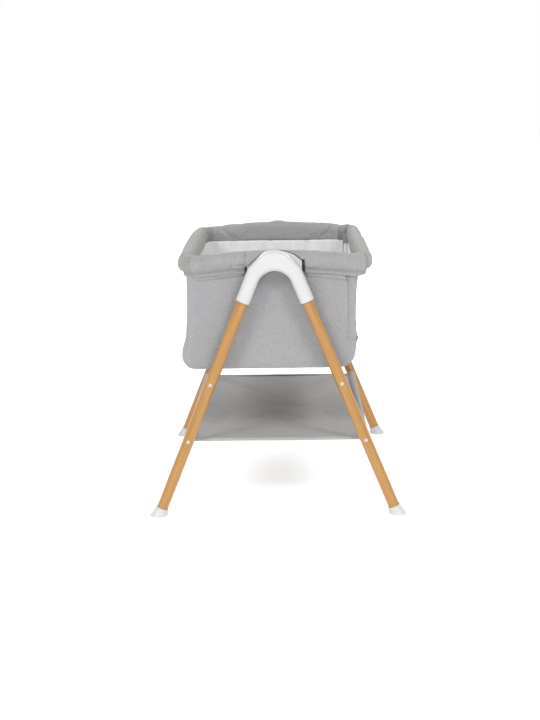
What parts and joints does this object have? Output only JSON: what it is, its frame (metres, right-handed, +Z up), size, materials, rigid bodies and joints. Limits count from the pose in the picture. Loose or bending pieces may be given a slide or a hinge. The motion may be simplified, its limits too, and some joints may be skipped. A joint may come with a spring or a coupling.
{
  "type": "bassinet on stand",
  "caption": "Rectangular padded cloth bassinet held between two A-shaped tube end frames, with a fold-down mesh side, loose mattress and cloth shelf.",
  "frame": {"origin": "on the floor, at the middle of the four feet", "axes": "+Z up, +Y along the bassinet from the near end frame to the far one, +X across it towards the side that folds down"},
  "size_m": [0.736, 0.95, 0.76],
  "materials": {
    "wood_look_tube": "steel tube with a printed oak grain, satin varnish",
    "white_plastic": "smooth white moulding, soft gloss",
    "screw_cap": "domed white-zinc screw heads",
    "zinc_steel": "bright zinc plate",
    "grey_steel": "dark grey powder coat",
    "dark_plastic": "black moulding, matt",
    "board": "bare fibreboard",
    "mattress_cover": "quilted white cover over foam",
    "rim_fabric": "heathered grey weave over foam",
    "grey_fabric": "heathered grey weave",
    "white_mesh": "open white mesh",
    "white_lining": "plain white cotton",
    "shelf_fabric": "ribbed grey weave",
    "zip_tape": "grey zip teeth",
    "zip_metal": "grey painted slider"
  },
  "bodies": {
    "stand": {"base_board": "board", "base_frame": "grey_steel", "bottom_cloth": "grey_fabric", "corner_elbow_far": "dark_plastic", "corner_elbow_near": "dark_plastic", "corner_latch_far": "dark_plastic", "corner_latch_near": "dark_plastic", "corner_post_far_left": "grey_steel", "corner_post_far_right": "grey_steel", "corner_post_near_left": "grey_steel", "corner_post_near_right": "grey_steel", "end_panel_far": "grey_fabric", "end_panel_near": "grey_fabric", "end_rail_far": "grey_steel", "end_rail_near": "grey_steel", "foot_far_left": "white_plastic", "foot_far_right": "white_plastic", "foot_near_left": "white_plastic", "foot_near_right": "white_plastic", "hinge_brackets": "zinc_steel", "hinge_pins": "zinc_steel", "left_rail": "grey_steel", "leg_far_left": "wood_look_tube", "leg_far_right": "wood_look_tube", "leg_near_left": "wood_look_tube", "leg_near_right": "wood_look_tube", "lining_far": "white_lining", "lining_near": "white_lining", "lower_rail_left": "grey_steel", "lower_rail_right": "grey_steel", "post_clamps": "dark_plastic", "rail_end_plugs": "dark_plastic", "rail_screws": "screw_cap", "rim_pad_far": "rim_fabric", "rim_pad_left": "rim_fabric", "rim_pad_near": "rim_fabric", "saddle_far": "white_plastic", "saddle_near": "white_plastic", "saddle_screws": "zinc_steel", "shelf": "shelf_fabric", "shelf_rod_far": "grey_steel", "shelf_rod_near": "grey_steel", "side_wall_left": "white_mesh", "skirt_left": "grey_fabric", "skirt_right": "grey_fabric", "upper_rail_left": "grey_steel", "upper_rail_right": "grey_steel", "yoke_far": "white_plastic", "yoke_leg_screws": "zinc_steel", "yoke_near": "white_plastic", "zip_far": "zip_tape", "zip_near": "zip_tape"},
    "drop_side": {"drop_rail": "grey_steel", "drop_rail_plugs": "dark_plastic", "drop_arms": "zinc_steel", "drop_panel": "white_mesh", "rim_pad_drop": "rim_fabric"},
    "mattress": {"mattress": "mattress_cover"},
    "zip_slider_near": {"zip_slider_near": "zip_metal"},
    "zip_slider_far": {"zip_slider_far": "zip_metal"}
  },
  "joints": [
    {"name": "side_fold", "type": "hinge", "parent": "stand", "child": "drop_side", "pos_m": [0.2315, 0, 0.497], "axis": [0, 1, 0], "range_deg": [0, 170]},
    {"name": "mattress_lift", "type": "slide", "parent": "stand", "child": "mattress", "axis": [0, 0, 1], "range_m": [0, 0.35]},
    {"name": "zip_slide_near", "type": "slide", "parent": "stand", "child": "zip_slider_near", "axis": [0, 0, -1], "range_m": [0, 0.16]},
    {"name": "zip_slide_far", "type": "slide", "parent": "stand", "child": "zip_slider_far", "axis": [0, 0, -1], "range_m": [0, 0.16]}
  ]
}
